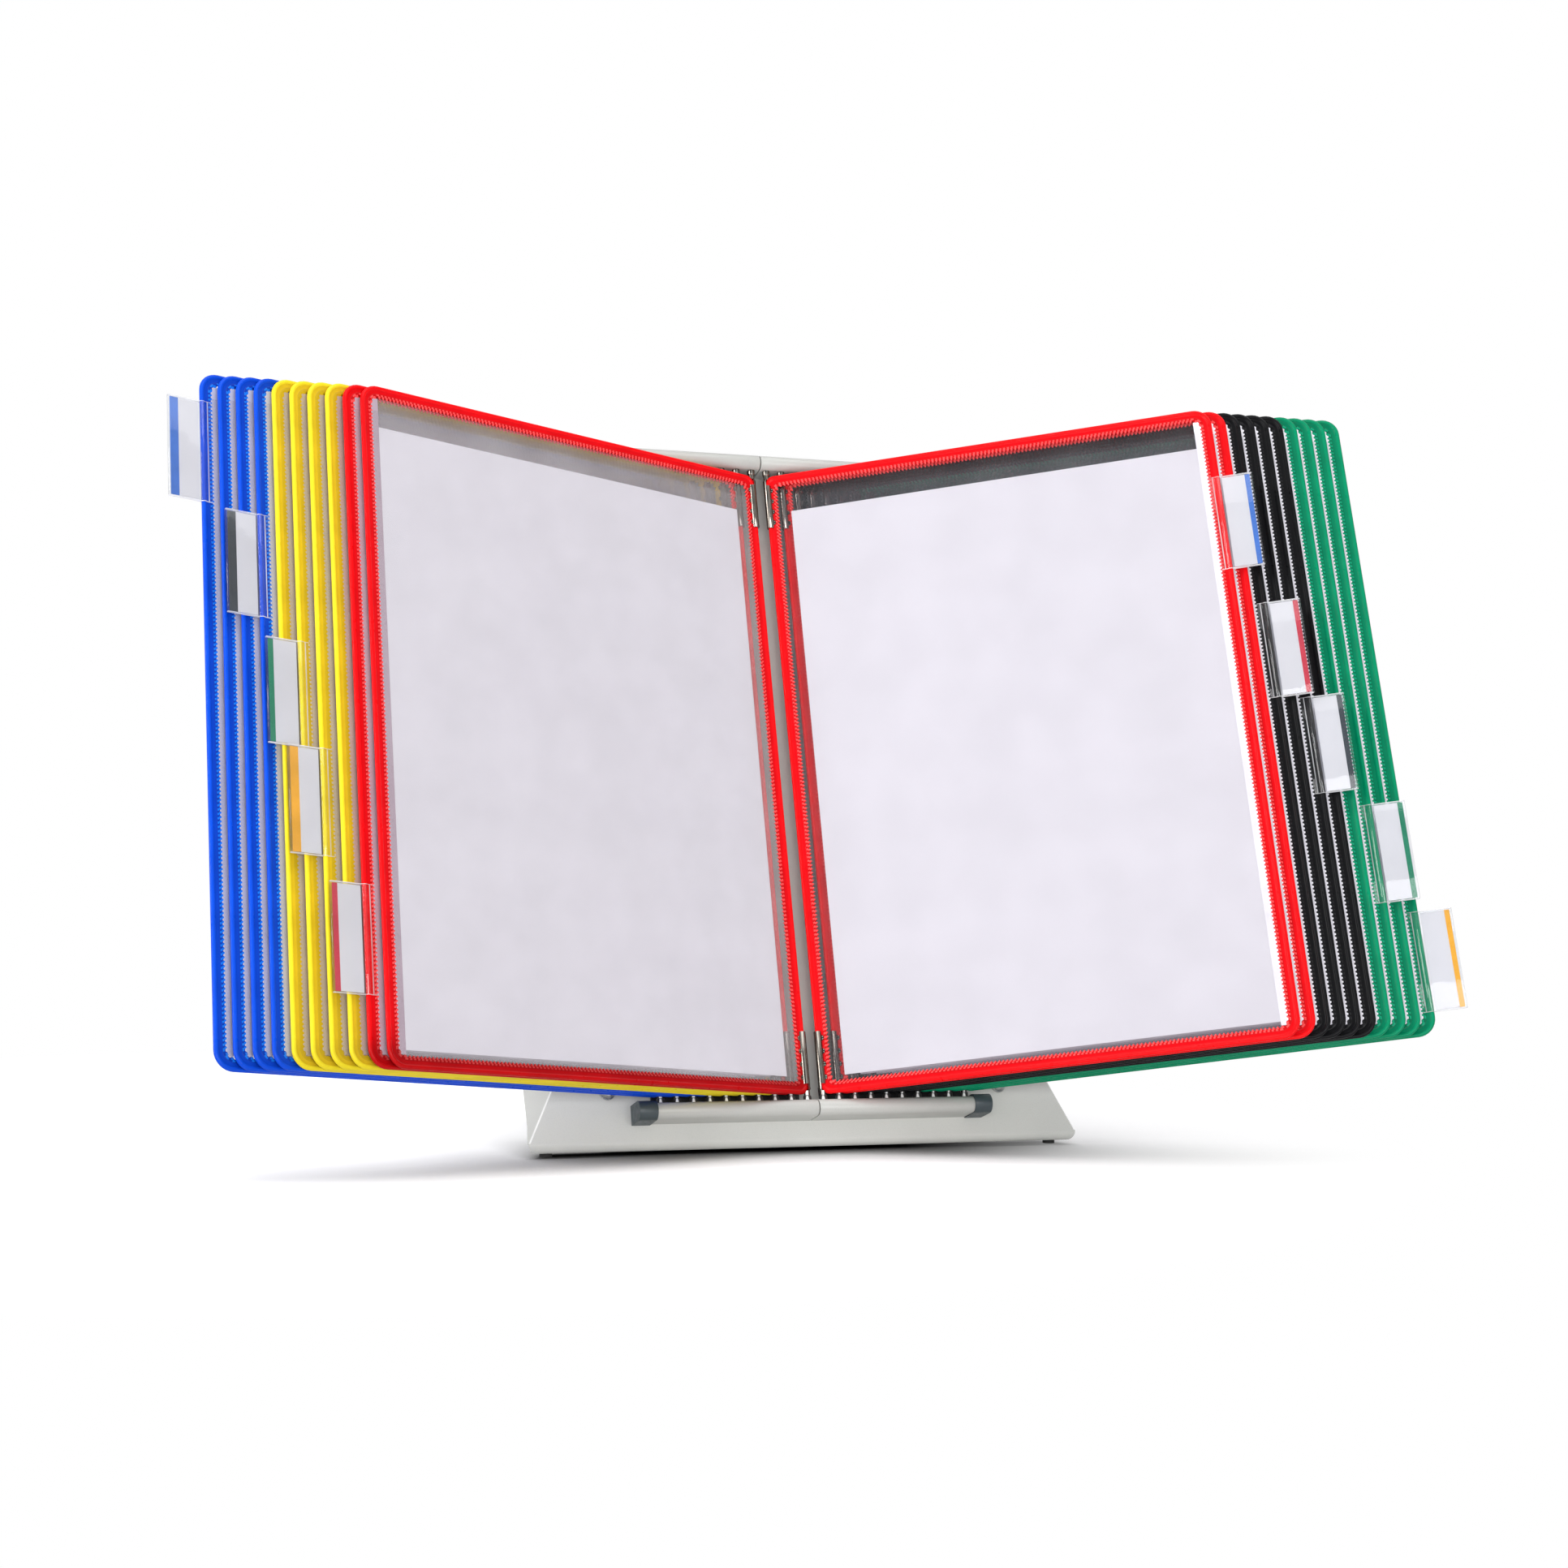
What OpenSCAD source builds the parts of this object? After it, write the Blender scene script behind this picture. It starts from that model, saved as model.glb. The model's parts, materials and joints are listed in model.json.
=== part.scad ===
// Desk display rack: twenty A4 pockets turn on pins between two half-round bars.
// The display leans back. Its own frame has x to the right of the middle seam,
// y back from the row of pivot pins and z up the lean from the lower bar's top.

/* [Display] */
// How far the display leans back from vertical, degrees
lean = 17.5; // [15:0.5:20]
// Distance from one pivot pin to the next
pin_pitch = 8.2; // [8.1:0.1:9.5]
// Clear height between the lower and the upper bar
bar_gap = 332; // [332:0.5:336]
// Height of the lower bar's top above the table, at the pivot pins
bar_height = 25.3; // [25:0.1:28]
// How far right of the origin the seam between the two brackets stands
seam_x = 9; // [0:0.5:15]
// How far in front of the origin the pivot pins reach the lower bar
pins_forward = 27; // [10:1:40]

/* [Pockets] */
// Pivot axis to the outer edge of a pocket
pocket_w = 230; // [229:0.5:234]
// Height of a pocket over its border
pocket_h = 326.5; // [324:0.5:326.5]
// Gap between the lower bar and the bottom of a pocket
pocket_lift = 2.6; // [2.4:0.1:2.6]
// Width of the coloured border, bead included
border_w = 6.8; // [6.6:0.1:7.4]
// Radius of the round bead along the edge of the border
bead_r = 1.1; // [0.8:0.05:1.1]
// Outer edge of a pocket to the paper sheet inside it
sheet_inset = 8.5; // [8:0.1:9]
// Thickness of the welded border beside the bead
weld_t = 0.5; // [0.3:0.1:0.5]
// Angle of the ten left pockets from straight ahead, degrees
left_angle = 71; // [40:1:71]
// Angle of the ten right pockets from straight ahead, degrees
right_angle = 61; // [40:1:65]

/* [Pivot clips] */
// Outer radius of a clip's barrel and of its pin
pin_r = 1.95; // [1.8:0.05:1.95]
// Running clearance between a pin and its hole
pin_clearance = 0.08; // [0.02:0.01:0.1]
// Length of the upper clip along the spine
upper_clip = 24; // [20:0.5:26]
// Length of the lower clip along the spine
lower_clip = 26; // [20:0.5:28]
// Depth of a pin inside its bar
pin_depth = 5.5; // [4:0.5:6]

/* [Bars and brackets] */
// Height of a bar
bar_h = 8; // [8:0.5:12]
// Front of a bar to the back of the bracket
bar_d = 15.5; // [14:0.5:18]
// Sheet thickness of the brackets
bracket_t = 1.2; // [1:0.1:1.5]
// Back of the bracket behind the pivot pins
bracket_back = 10; // [10:0.5:12]
// Length of the plastic end caps
cap_len = 9; // [8:0.5:12]

/* [Base] */
// Half the width of the base panel at its rolled bottom edge
base_half = 140.3; // [132:0.1:145]
// Slope of the panel's sides from straight up the lean, degrees
base_taper = 25.5; // [24:0.5:26.5]
// Top of the base panel, up the lean
base_top = 203; // [198:1:206]
// Sheet thickness of the base panel
base_t = 1.5; // [1.2:0.1:1.8]
// Outer radius of the rolled bottom edge
roll_r = 4; // [3.6:0.1:5]
// How far the side wings are bent back, degrees
wing_bend = 75; // [65:1:85]
// Depth of the foot plate behind the rolled edge
foot_depth = 155; // [120:5:170]
// Half the width of the foot plate
foot_half = 98; // [94:1:104]
// Height of the front feet
foot_h = 2; // [1.5:0.5:2]

/* [Index tabs] */
// Length of a tab along the pocket's edge
tab_len = 50; // [40:1:55]
// How far a tab stands out past the pocket
tab_out = 16; // [12:0.5:20]
// Pocket, height of the tab's middle up the lean, colour of its end
TABS = [
    [1, 289, "royalblue"],
    [4, 234, "darkslategray"],
    [6, 173, "seagreen"],
    [7, 122.5, "orange"],
    [9, 60, "crimson"],
    [11, 266, "royalblue"],
    [13, 198.5, "crimson"],
    [15, 149, "darkslategray"],
    [18, 93.5, "seagreen"],
    [20, 39, "orange"]
];

/* [Hidden] */
$fn = 48;
pockets = 20;
half = pockets / 2;

// pocket outline, on the centreline of the bead
spine_corner = 4;
outer_corner = 8;
bead_x = pocket_w - bead_r;
bead_lo = pocket_lift + bead_r;
bead_hi = pocket_lift + pocket_h - bead_r;
window_lo = pocket_lift + border_w;
window_hi = pocket_lift + pocket_h - border_w;
// the pivot axis is the centre of the spine's bead
spine_in = border_w - bead_r;
window_w = pocket_w - border_w - spine_in;
film_t = 0.15;
film_lap = 0.8;
// the front film stops short of the upper border, and the sheet goes in there
slot_h = 6;
sheet_w = 210;
sheet_h = 297;
sheet_t = 0.2;

// clips: bead clearance, sheet thickness, teeth
bead_clearance = 0.05;
clip_t = 0.3;
teeth = 4;
tooth_tip = 3;
tooth_r = 1.4;
// next to the pin the barrel narrows, and the neighbouring pocket's bead passes it there
neck_r = 1.5;
neck_len = 2 * bead_r + 0.4;
pin_shoulder = 0.3;

// bars
bar_nose = bracket_back - bar_d;
bar_end = 88;
plate_end = 80;
cap_start = 81;
seam_gap = 0.25;
cap_over = 1;
cap_under = 0.5;
cap_nose = 0.8;

// base: the roll's axis is where the panel, the roll and the flat lip meet
foot_t = 1.5;
lip = 14;
profile_overlap = 0.05;
roll_y = bracket_back + roll_r;
roll_z = (foot_h + roll_r - bar_height + roll_y * sin(lean)) / cos(lean);
fold_len = (base_top - roll_z) / cos(base_taper);
// a wing's deepest corner, and its depth at the top
wing_corner = 70;
wing_top = 16;
upstand_top = 16;
// the panel screws go through two ears of the upstand
ear_half = 110;
ear_from = 0;

// screws: positions on the panel, x and z
screw_r = 2;
screw_hole = 2.2;
head_r = 3.3;
head_h = 2.2;
washer_r = 4;
washer_t = 1;
nut_h = 3.2;
nut_af = 7;
nut_bore = 2.05;
PANEL_SCREWS = [[-101, 8], [101, 8]];
BRACKET_SCREWS = [[-24, 60], [24, 60], [-24, 185], [24, 185]];

// feet, x and distance behind the roll's axis
foot_r = 3;
rear_foot_r = 6;
front_foot = [130, 5];
rear_foot = [84, foot_depth - 12];

// tabs: wall over the bead, jaws, sleeve for the label
tab_wall = 0.45;
jaw_in = border_w - film_lap - 0.5;
jaw_half = 0.95;
jaw_clearance = 0.02;
sleeve_half = 0.8;
sleeve_from = 1.6;
sleeve_gap = 0.3;
label_half = 0.25;
label_edge = 0.2;
label_ends = 0.5;

function two(i) = str(i < 10 ? "0" : "", i);
function pocket_name(i) = str("pocket_", two(i));
function pivot_name(i) = str("pivots_", two(i));
function tab_name(t) = str("tab_", two(t[0]));
// a pocket drawn along +x is turned to point forward and to its own side
function turn_of(i) = (i <= half ? -left_angle : right_angle) - 90;
function pin_x(i) = (i - (pockets + 1) / 2) * pin_pitch;
function border_colour(i) =
    i <= 4 ? "blue" : i <= 8 ? "gold" : i <= 12 ? "red" : i <= 16 ? "black" : "seagreen";
// points of a quarter circle, from angle a
function quarter(x, y, r, a) = [for (k = [0:4]) [x + r * cos(a + k * 22.5), y + r * sin(a + k * 22.5)]];

STAND = [
    "base_panel", "base_foot", "bracket_left", "bracket_right", "end_caps",
    "feet", "panel_screws", "washers", "bracket_screws", "nuts"
];

// Puts a shape drawn in the leaning frame in its place above the table.
module on_lean() {
    translate([seam_x, -pins_forward, bar_height])
        rotate([-lean, 0, 0])
            children();
}

// Puts a shape drawn along +x from a pivot axis in the place of pocket i.
module at_pocket(i) {
    on_lean()
        translate([pin_x(i), 0, 0])
            rotate([0, 0, turn_of(i)])
                children();
}

// Extrudes a profile drawn in y and z along x.
module along_x(from, to) {
    translate([from, 0, 0])
        rotate([90, 0, 90])
            linear_extrude(to - from)
                children();
}

// Moves to every position in a list of x and z, on the plane y.
module at_each(positions, y) {
    for (p = positions)
        translate([p[0], y, p[1]])
            children();
}

module drill(positions, from, to, r) {
    at_each(positions, from)
        rotate([-90, 0, 0])
            cylinder(h = to - from, r = r);
}

// ---- brackets, bars and caps ----

// Half-round profile: a flat back at the bracket and a round nose.
module bar_profile(z, h, nose, back) {
    translate([nose + h / 2, z + h / 2])
        circle(r = h / 2);
    translate([nose + h / 2, z])
        square([back - nose - h / 2, h]);
}

module bar_tube(z, from, to) {
    difference() {
        along_x(from, to)
            bar_profile(z, bar_h, bar_nose, bracket_back);
        along_x(from - 1, to + 1)
            bar_profile(z + bracket_t, bar_h - 2 * bracket_t, bar_nose + bracket_t, bracket_back - bracket_t);
    }
}

// The left bracket; the right one is its mirror image.
module bracket() {
    color("lightgray")
        difference() {
            union() {
                bar_tube(-bar_h, -bar_end, -seam_gap);
                bar_tube(bar_gap, -bar_end, -seam_gap);
                translate([-plate_end, bracket_back - bracket_t, -bracket_t])
                    cube([plate_end - seam_gap, bracket_t, bar_gap + 2 * bracket_t]);
            }
            for (i = [1:half]) {
                translate([pin_x(i), 0, -bracket_t - 1])
                    cylinder(h = bracket_t + 2, r = pin_r + pin_clearance);
                translate([pin_x(i), 0, bar_gap - 1])
                    cylinder(h = bracket_t + 2, r = pin_r + pin_clearance);
            }
            drill(BRACKET_SCREWS, bracket_back - bracket_t - 1, bracket_back + 1, screw_hole);
        }
}

module bracket_left() {
    on_lean()
        bracket();
}

module bracket_right() {
    on_lean()
        mirror([1, 0, 0])
            bracket();
}

// A cap slides over the end of a bar and closes it.
module end_cap(z, under, over) {
    difference() {
        along_x(cap_start, cap_start + cap_len)
            bar_profile(z - under, bar_h + under + over, bar_nose - cap_nose, bracket_back);
        along_x(cap_start - 1, bar_end)
            bar_profile(z, bar_h, bar_nose, bracket_back + 1);
    }
}

module end_caps() {
    color("darkslategray")
        on_lean()
            for (side = [0, 1])
                mirror([side, 0, 0]) {
                    end_cap(-bar_h, cap_under, cap_over);
                    end_cap(bar_gap, cap_over, cap_under);
                }
}

// ---- base ----

// Profile of a sheet that bends about the roll's axis, from the panel round to the table,
// and then runs back level with it; its upright part ends at the height top.
module bent_profile(r, t, depth, top) {
    translate([roll_y, roll_z]) {
        difference() {
            circle(r = r);
            circle(r = r - t);
            translate([-r - 1, 0])
                square([2 * r + 2, r + 1]);
            rotate(lean)
                translate([0, -r - 1])
                    square([r + 1, 2 * r + 2]);
        }
        rotate(lean)
            translate([-profile_overlap, -r])
                square([depth + profile_overlap, t]);
    }
    translate([roll_y - r, roll_z - profile_overlap])
        square([t, top - roll_z + profile_overlap]);
}

// The front of the panel, a trapezoid up the lean.
module panel_face() {
    top_half = base_half - fold_len * sin(base_taper);
    translate([0, bracket_back + base_t, 0])
        rotate([90, 0, 0])
            linear_extrude(base_t)
                polygon([
                    [-base_half, roll_z],
                    [base_half, roll_z],
                    [top_half, base_top],
                    [-top_half, base_top]
                ]);
}

// A triangular wing along the panel's sloping side, drawn as across and along the fold.
module wing() {
    translate([base_half, bracket_back, roll_z])
        rotate([0, -base_taper, 0])
            rotate([0, 0, wing_bend])
                translate([0, base_t, 0])
                    rotate([90, 0, 0])
                        linear_extrude(base_t)
                            polygon([[0, 0], [wing_corner, wing_corner], [wing_top, fold_len], [0, fold_len]]);
}

module base_panel() {
    color("lightgray")
        on_lean()
            difference() {
                union() {
                    panel_face();
                    along_x(-base_half, base_half)
                        bent_profile(roll_r, base_t, lip, roll_z);
                    wing();
                    mirror([1, 0, 0])
                        wing();
                }
                drill(concat(PANEL_SCREWS, BRACKET_SCREWS), bracket_back - 1, bracket_back + base_t + 1, screw_hole);
            }
}

module base_foot() {
    inner_r = roll_r - base_t;
    color("lightgray")
        on_lean()
            difference() {
                union() {
                    translate([-ear_half, bracket_back + base_t, ear_from])
                        cube([2 * ear_half, foot_t, upstand_top - ear_from]);
                    along_x(-foot_half, foot_half)
                        bent_profile(inner_r, foot_t, foot_depth, upstand_top);
                }
                drill(PANEL_SCREWS, bracket_back + base_t - 1, bracket_back + base_t + foot_t + 1, screw_hole);
            }
}

// Feet stand on the table: two short ones under the lip, two taller under the foot plate.
module feet() {
    roll_world = roll_y * cos(lean) + roll_z * sin(lean);
    color("dimgray")
        translate([seam_x, -pins_forward + roll_world, 0])
            for (side = [-1, 1]) {
                translate([side * front_foot[0], front_foot[1], 0])
                    cylinder(h = foot_h, r = foot_r);
                translate([side * rear_foot[0], rear_foot[1], 0])
                    cylinder(h = foot_h + base_t, r = rear_foot_r);
            }
}

// ---- fasteners ----

// A pan-head screw whose head faces the front, with its seat on y = 0.
module pan_screw(reach) {
    rotate([90, 0, 0])
        cylinder(h = head_h, r1 = head_r, r2 = head_r - 1);
    rotate([-90, 0, 0])
        cylinder(h = reach, r = screw_r);
}

module panel_screws() {
    color("silver")
        on_lean()
            at_each(PANEL_SCREWS, bracket_back - washer_t)
                pan_screw(washer_t + base_t + foot_t + nut_h + 1);
}

module bracket_screws() {
    color("silver")
        on_lean()
            at_each(BRACKET_SCREWS, bracket_back - bracket_t)
                pan_screw(bracket_t + base_t + nut_h + 1);
}

module washers() {
    color("silver")
        on_lean()
            at_each(PANEL_SCREWS, bracket_back)
                rotate([90, 0, 0])
                    difference() {
                        cylinder(h = washer_t, r = washer_r);
                        translate([0, 0, -1])
                            cylinder(h = washer_t + 2, r = screw_hole);
                    }
}

module nut() {
    rotate([-90, 0, 0])
        difference() {
            cylinder(h = nut_h, r = nut_af / 2 / cos(30), $fn = 6);
            translate([0, 0, -1])
                cylinder(h = nut_h + 2, r = nut_bore);
        }
}

module nuts() {
    color("silver")
        on_lean() {
            at_each(PANEL_SCREWS, bracket_back + base_t + foot_t)
                nut();
            at_each(BRACKET_SCREWS, bracket_back + base_t)
                nut();
        }
}

// ---- pockets ----

// One quarter of the bead round a corner centred on x, z.
module bead_corner(x, z, r, from) {
    translate([x, 0, z])
        rotate([90, 0, 0])
            rotate([0, 0, from])
                rotate_extrude(angle = 90)
                    translate([r, 0])
                        circle(r = bead_r);
}

module bead_upright(x, lo, hi) {
    translate([x, 0, lo])
        cylinder(h = hi - lo, r = bead_r);
}

module bead_level(z, from, to) {
    translate([from, 0, z])
        rotate([0, 90, 0])
            cylinder(h = to - from, r = bead_r);
}

// The welded border: a thin frame, edged with the round bead.
module pocket_border() {
    s = spine_corner;
    o = outer_corner;
    translate([0, weld_t / 2, 0])
        rotate([90, 0, 0])
            linear_extrude(weld_t)
                difference() {
                    polygon(concat(
                        quarter(s, bead_lo + s, s, 180),
                        quarter(bead_x - o, bead_lo + o, o, 270),
                        quarter(bead_x - o, bead_hi - o, o, 0),
                        quarter(s, bead_hi - s, s, 90)
                    ));
                    translate([spine_in, window_lo])
                        square([window_w, window_hi - window_lo]);
                }
    bead_corner(s, bead_lo + s, s, 180);
    bead_corner(bead_x - o, bead_lo + o, o, 270);
    bead_corner(bead_x - o, bead_hi - o, o, 0);
    bead_corner(s, bead_hi - s, s, 90);
    bead_upright(0, bead_lo + s, bead_hi - s);
    bead_upright(bead_x, bead_lo + o, bead_hi - o);
    bead_level(bead_lo, s, bead_x - o);
    bead_level(bead_hi, s, bead_x - o);
}

// A clear film, lapped over the border on the face at y.
module film(y, top) {
    translate([spine_in - film_lap, y, window_lo - film_lap])
        cube([window_w + 2 * film_lap, film_t, top - window_lo + film_lap]);
}

module sheet() {
    translate([pocket_w - sheet_inset - sheet_w, -sheet_t / 2, pocket_lift + sheet_inset])
        cube([sheet_w, sheet_t, sheet_h]);
}

// The left pockets show their +y face to the front, and the right ones their -y face.
module pocket(i) {
    near = i <= half ? weld_t / 2 : -weld_t / 2 - film_t;
    far = i <= half ? -weld_t / 2 - film_t : weld_t / 2;
    at_pocket(i) {
        color(border_colour(i))
            pocket_border();
        color("whitesmoke") {
            film(near, window_hi - slot_h);
            film(far, window_hi + film_lap);
            sheet();
        }
    }
}

// ---- pivot clips ----

// One clip, standing on z = 0 with its pin above: a split barrel wraps the bead, two rows
// of teeth grip the border, and a pin goes on past the corner of the pocket.
module clip(length, pin_from, pin_to) {
    cheek_y = weld_t / 2;
    pitch = length / teeth;
    inner_r = bead_r + bead_clearance;
    difference() {
        union() {
            cylinder(h = pin_from - neck_len, r = pin_r);
            cylinder(h = pin_from, r = neck_r);
            for (y = [-cheek_y, cheek_y + clip_t], k = [0:teeth - 1])
                translate([tooth_tip - tooth_r, y, pitch * (k + 0.5)])
                    rotate([90, 0, 0])
                        cylinder(h = clip_t, r = tooth_r);
        }
        translate([0, 0, -1])
            cylinder(h = pin_from + 1, r = inner_r);
        translate([0, -cheek_y, -1])
            cube([pin_r + 1, 2 * cheek_y, pin_from + 1]);
        translate([0, -pin_r - 1, length])
            cube([pin_r + 1, 2 * pin_r + 2, pin_from - length]);
    }
    translate([0, 0, pin_from])
        cylinder(h = pin_to - pin_from, r = pin_r);
}

// The upper and the lower clip of one pocket.
module pivots(i) {
    corner_hi = bead_hi - spine_corner;
    corner_lo = bead_lo + spine_corner;
    edge_hi = bead_hi + bead_r + pin_shoulder;
    edge_lo = bead_lo - bead_r - pin_shoulder;
    color("silver")
        at_pocket(i) {
            translate([0, 0, corner_hi - upper_clip])
                clip(upper_clip, edge_hi - corner_hi + upper_clip, bar_gap + pin_depth - corner_hi + upper_clip);
            translate([0, 0, corner_lo + lower_clip])
                mirror([0, 0, 1])
                    clip(lower_clip, corner_lo + lower_clip - edge_lo, corner_lo + lower_clip + pin_depth);
        }
}

// ---- index tabs ----

// Cross-section of a tab: jaws over the bead, then a flat sleeve for the label.
module tab_profile() {
    slit_half = weld_t / 2 + jaw_clearance;
    difference() {
        union() {
            translate([bead_x, 0])
                circle(r = bead_r + tab_wall);
            translate([pocket_w - jaw_in, -jaw_half])
                square([jaw_in - bead_r, 2 * jaw_half]);
            translate([bead_x, -sleeve_half])
                square([bead_r + tab_out, 2 * sleeve_half]);
        }
        translate([bead_x, 0])
            circle(r = bead_r + bead_clearance);
        translate([pocket_w - jaw_in - 1, -slit_half])
            square([jaw_in + 1 - bead_r, 2 * slit_half]);
        translate([pocket_w + sleeve_from, -sleeve_gap])
            square([tab_out - sleeve_from - 1, 2 * sleeve_gap]);
    }
}

module tab(t) {
    at_pocket(t[0])
        translate([0, 0, t[1] - tab_len / 2]) {
            color("white")
                linear_extrude(tab_len)
                    tab_profile();
            color(t[2])
                translate([pocket_w + sleeve_from + label_edge, -label_half, label_ends])
                    cube([tab_out - sleeve_from - 1 - 2 * label_edge, 2 * label_half, tab_len - 2 * label_ends]);
        }
}

base_panel();
base_foot();
bracket_left();
bracket_right();
end_caps();
feet();
panel_screws();
washers();
bracket_screws();
nuts();
for (i = [1:pockets]) pocket(i);
for (i = [1:pockets]) pivots(i);
for (t = TABS) tab(t);
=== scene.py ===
import json
import math

import bmesh
import bpy
import numpy as np
from mathutils import Matrix, Vector, noise


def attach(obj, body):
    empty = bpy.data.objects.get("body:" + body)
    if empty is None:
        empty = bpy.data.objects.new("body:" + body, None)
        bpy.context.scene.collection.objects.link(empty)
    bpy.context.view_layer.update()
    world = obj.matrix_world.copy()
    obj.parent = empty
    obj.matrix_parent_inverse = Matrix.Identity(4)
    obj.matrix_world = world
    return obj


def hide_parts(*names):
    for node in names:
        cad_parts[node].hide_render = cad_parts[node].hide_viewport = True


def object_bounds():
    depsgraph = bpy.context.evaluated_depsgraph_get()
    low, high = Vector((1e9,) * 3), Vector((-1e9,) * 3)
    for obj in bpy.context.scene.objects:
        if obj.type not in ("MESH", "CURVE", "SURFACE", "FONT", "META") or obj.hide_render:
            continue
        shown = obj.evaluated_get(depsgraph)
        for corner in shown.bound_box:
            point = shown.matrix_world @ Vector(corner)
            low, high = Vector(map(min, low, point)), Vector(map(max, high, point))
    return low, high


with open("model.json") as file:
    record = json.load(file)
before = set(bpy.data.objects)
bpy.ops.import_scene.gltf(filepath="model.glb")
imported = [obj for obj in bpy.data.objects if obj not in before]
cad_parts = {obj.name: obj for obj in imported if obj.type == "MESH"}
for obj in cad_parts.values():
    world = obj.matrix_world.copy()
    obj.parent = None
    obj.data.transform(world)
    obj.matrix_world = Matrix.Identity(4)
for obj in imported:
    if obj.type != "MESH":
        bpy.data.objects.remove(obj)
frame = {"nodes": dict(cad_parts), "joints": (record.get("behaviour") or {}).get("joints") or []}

CAD_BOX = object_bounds()
MM = 0.001

# ---- the leaning frame: x right along the bars, y back through them, z up the pivot pins ----

JOINTS = {j["name"]: j for j in frame["joints"]}
UP = Vector(JOINTS["turn_01"]["axis"]).normalized()
RIGHT = Vector((1, 0, 0))
BACK = UP.cross(RIGHT)
TAGS = sorted(n[-2:] for n in frame["nodes"] if n.startswith("pocket_"))
TAB_TAGS = sorted(n[-2:] for n in frame["nodes"] if n.startswith("tab_"))
PINS = {tag: Vector(JOINTS["turn_" + tag]["pos_m"]) for tag in TAGS}
SEAM = sum(PINS.values(), Vector()) / len(PINS)


def axes_matrix(x, y, z, origin):
    m = Matrix((x, y, z)).transposed().to_4x4()
    m.translation = origin
    return m


LEAN = axes_matrix(RIGHT, BACK, UP, SEAM)


def node_points(name):
    return np.array([v.co for v in frame["nodes"][name].data.vertices], float)


def local_box(name, matrix):
    """Lowest and highest corner of a CAD node in another frame, in millimetres."""
    inv = np.array(matrix.inverted())
    co = node_points(name) @ inv[:3, :3].T + inv[:3, 3]
    return Vector(co.min(0)) / MM, Vector(co.max(0)) / MM


def pocket_matrix(tag):
    """A pocket's frame: x out from its pivot axis, y through the page, z up the pins."""
    co = node_points("pocket_" + tag) - np.array(PINS[tag])
    co -= np.outer(co @ np.array(UP), np.array(UP))
    out = Vector(np.linalg.svd(co, full_matrices=False)[2][0])
    if out.dot(Vector(co.mean(0))) < 0:
        out.negate()
    return axes_matrix(out, UP.cross(out), UP, PINS[tag])


POCKET_FRAMES = {tag: pocket_matrix(tag) for tag in TAGS}
PAGE_LO, PAGE_HI = local_box("pocket_01", POCKET_FRAMES["01"])


def front_sign(tag):
    """+1 when a pocket shows its +y face to the front, as on the left, otherwise -1."""
    return 1 if POCKET_FRAMES[tag].col[1][1] < 0 else -1


# ---- sizes, in millimetres ----

BEAD_R = (PAGE_HI.y - PAGE_LO.y) / 2
EDGE_X = PAGE_HI.x - BEAD_R
EDGE_LO = PAGE_LO.z + BEAD_R
EDGE_HI = PAGE_HI.z - BEAD_R
BORDER_W = 6.8
BAND_W = BORDER_W - BEAD_R
WINDOW_X = (BAND_W, PAGE_HI.x - BORDER_W)
WINDOW_Z = (PAGE_LO.z + BORDER_W, PAGE_HI.z - BORDER_W)
SPINE_CORNER = 4.0
OUTER_CORNER = 8.0
WINDOW_CORNER = 3.0
WELD_HALF = 0.25
SLOT_H = 6.0
SHEET_SIZE = (210.0, 297.0)
SHEET_INSET = 8.5
DOT_PITCH = 2.0
PIN_R = 1.95
SEAM_FROM, SEAM_TO = 4.2, 8.1
SEAM_END = 5.5

# painted shade: a nearly black band painted on the back plate behind the lower pins, where the pockets above
# shade it: its heights, and its half gap at the middle
PIN_SHADE_BAND = (0.4, 8.0)
SHADE_BAND_GAP = 5
SHADE_BAND_BLACK = (0.012, 0.012, 0.013)


# ---- mesh helpers ----

def make_object(name, mesh, matrix=None):
    obj = bpy.data.objects.new(name, mesh)
    bpy.context.scene.collection.objects.link(obj)
    if matrix is not None:
        obj.matrix_world = matrix
    return obj


def finish_mesh(name, points, faces, sharp=40):
    """A mesh from points in millimetres, smooth apart from edges sharper than the angle given."""
    mesh = bpy.data.meshes.new(name)
    mesh.from_pydata([tuple(c * MM for c in p) for p in points], [], faces)
    bm = bmesh.new()
    bm.from_mesh(mesh)
    bmesh.ops.recalc_face_normals(bm, faces=bm.faces)
    bm.to_mesh(mesh)
    bm.free()
    mesh.shade_smooth()
    mesh.set_sharp_from_angle(angle=math.radians(sharp))
    mesh.update()
    return mesh


class Shape:
    """Collects points and faces of one mesh, in millimetres."""

    def __init__(self):
        self.points = []
        self.faces = []
        self.kinds = []

    def loft(self, rings, closed=True, loop=False, caps=True):
        """Joins rings of equal length. closed: each ring is a loop. loop: last ring joins the first."""
        base = len(self.points)
        n = len(rings[0])
        for ring in rings:
            self.points.extend(ring)
        count = len(rings)
        for i in range(count if loop else count - 1):
            a = base + i * n
            b = base + (i + 1) % count * n
            for k in range(n if closed else n - 1):
                m = (k + 1) % n
                self.faces.append((a + k, a + m, b + m, b + k))
        if caps and closed and not loop:
            self.faces.append(tuple(range(base + n - 1, base - 1, -1)))
            self.faces.append(tuple(range(base + (count - 1) * n, base + count * n)))

    def mesh(self, name, sharp=40):
        return finish_mesh(name, self.points, self.faces, sharp)


def circle(cx, cy, r, n=24, start=0.0, turn=360.0):
    """Points of a circle or arc as pairs; an open arc includes both ends."""
    steps = n if turn == 360.0 else n - 1
    angles = [math.radians(start + turn * k / steps) for k in range(n)]
    return [(cx + r * math.cos(a), cy + r * math.sin(a)) for a in angles]


# ---- materials ----

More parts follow.
